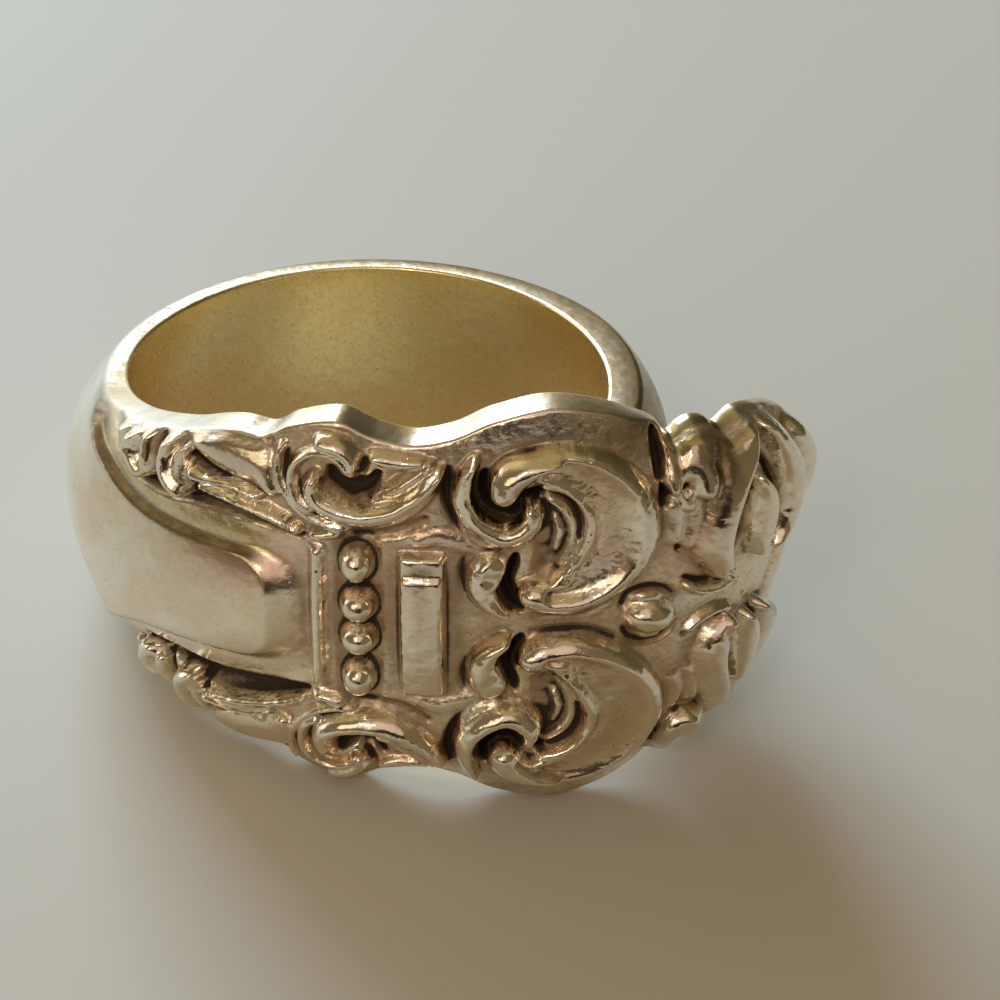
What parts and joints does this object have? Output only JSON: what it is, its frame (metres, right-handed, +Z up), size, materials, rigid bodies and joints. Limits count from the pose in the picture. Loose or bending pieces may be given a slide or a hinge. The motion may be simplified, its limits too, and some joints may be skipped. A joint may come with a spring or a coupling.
{
  "type": "spoon ring",
  "caption": "Spoon ring: a silver spoon handle bent round the finger, its wide scrolled end lapped over the plain tapered tail. Lies on its side.",
  "frame": {"origin": "middle of the bounding box at the floor, the ring lying on its side", "axes": "+Z up from the floor, -Y towards the ornate plate, +X towards the rolled tip"},
  "size_m": [0.0278, 0.0242, 0.0163],
  "materials": {
    "silver": "polished silver, tarnished in the hollows"
  },
  "bodies": {
    "root": {"spoon_ring": "silver"}
  },
  "joints": []
}
